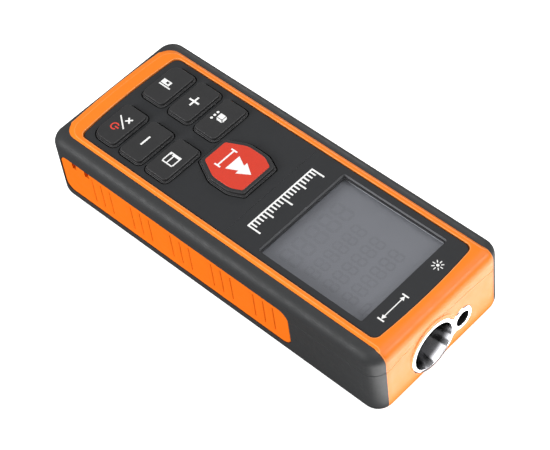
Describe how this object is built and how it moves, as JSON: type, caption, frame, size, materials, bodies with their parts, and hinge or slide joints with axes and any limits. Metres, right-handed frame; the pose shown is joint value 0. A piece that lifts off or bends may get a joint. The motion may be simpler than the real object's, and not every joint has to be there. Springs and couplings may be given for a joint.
{
  "type": "laser distance meter",
  "caption": "Pocket laser distance meter: flat case with soft bumper, keypad, display, and a lens and laser aperture at one end.",
  "frame": {"origin": "middle of the flat back face, halfway between the foot end and the laser end", "axes": "+Z from the back to the keys, +Y toward the laser end, +X to the right when looking at the keys with the laser end up"},
  "size_m": [0.05, 0.1243, 0.0271],
  "materials": {
    "orange_plastic": "satin",
    "soft_bumper": "satin",
    "panel_plastic": "satin",
    "key_plastic": "satin",
    "red_plastic": "satin",
    "window_glass": "polished",
    "display_glass": "satin",
    "light_guide": "matte",
    "foam": "matte",
    "circuit_board": "satin",
    "component_plastic": "matte",
    "bright_chrome": "polished",
    "cast_chassis": "matte",
    "optical_glass": "polished",
    "filter_glass": "polished",
    "brass_tube": "machined",
    "steel": "plated",
    "cable_skin": "matte",
    "cell_wrap": "gloss",
    "door_plastic": "fine texture",
    "label_film": "satin"
  },
  "bodies": {
    "body": {"upper_shell": "orange_plastic", "lower_shell": "orange_plastic", "upper_bumper": "soft_bumper", "lower_bumper": "soft_bumper", "right_grip": "orange_plastic", "left_grip": "orange_plastic", "keypad_panel": "panel_plastic", "display_panel": "panel_plastic", "display_window": "window_glass", "display_gasket": "foam", "display_module": "display_glass", "display_backlight": "light_guide", "display_connector": "foam", "main_board": "circuit_board", "key_switches": "component_plastic", "circuit_chips": "component_plastic", "buzzer": "component_plastic", "lens_bezel": "bright_chrome", "optics_chassis": "cast_chassis", "receiver_lens": "optical_glass", "lens_retainer": "component_plastic", "receiver_filter": "filter_glass", "laser_tube": "brass_tube", "collimator_lens": "optical_glass", "laser_diode": "steel", "laser_window": "optical_glass", "sensor_board": "circuit_board", "photodiode": "steel", "sensor_cable": "cable_skin", "optics_screws": "steel", "case_screws": "steel", "left_cell": "cell_wrap", "right_cell": "cell_wrap", "battery_bridge": "steel", "positive_contact": "steel", "negative_contact": "steel", "contact_springs": "steel", "battery_leads": "cable_skin", "laser_leads": "cable_skin", "rating_label": "label_film"},
    "reference_key_cap": {"reference_key": "key_plastic"},
    "plus_key_cap": {"plus_key": "key_plastic"},
    "menu_key_cap": {"menu_key": "key_plastic"},
    "clear_key_cap": {"clear_key": "key_plastic"},
    "minus_key_cap": {"minus_key": "key_plastic"},
    "memory_key_cap": {"memory_key": "key_plastic"},
    "measure_key_cap": {"measure_key": "key_plastic", "measure_key_label": "red_plastic"},
    "battery_door_leaf": {"battery_door": "door_plastic", "door_pad": "foam"}
  },
  "joints": [
    {"name": "press_reference_key", "type": "slide", "parent": "body", "child": "reference_key_cap", "axis": [0, 0, -1], "range_m": [0, 0.0008], "stiffness_N_per_m": 100},
    {"name": "press_plus_key", "type": "slide", "parent": "body", "child": "plus_key_cap", "axis": [0, 0, -1], "range_m": [0, 0.0008], "stiffness_N_per_m": 100},
    {"name": "press_menu_key", "type": "slide", "parent": "body", "child": "menu_key_cap", "axis": [0, 0, -1], "range_m": [0, 0.0008], "stiffness_N_per_m": 100},
    {"name": "press_clear_key", "type": "slide", "parent": "body", "child": "clear_key_cap", "axis": [0, 0, -1], "range_m": [0, 0.0008], "stiffness_N_per_m": 100},
    {"name": "press_minus_key", "type": "slide", "parent": "body", "child": "minus_key_cap", "axis": [0, 0, -1], "range_m": [0, 0.0008], "stiffness_N_per_m": 100},
    {"name": "press_memory_key", "type": "slide", "parent": "body", "child": "memory_key_cap", "axis": [0, 0, -1], "range_m": [0, 0.0008], "stiffness_N_per_m": 100},
    {"name": "press_measure_key", "type": "slide", "parent": "body", "child": "measure_key_cap", "axis": [0, 0, -1], "range_m": [0, 0.0008], "stiffness_N_per_m": 100},
    {"name": "open_battery_door", "type": "hinge", "parent": "body", "child": "battery_door_leaf", "pos_m": [0, -0.054, 0.00135], "axis": [-1, 0, 0], "range_deg": [0, 90]}
  ]
}
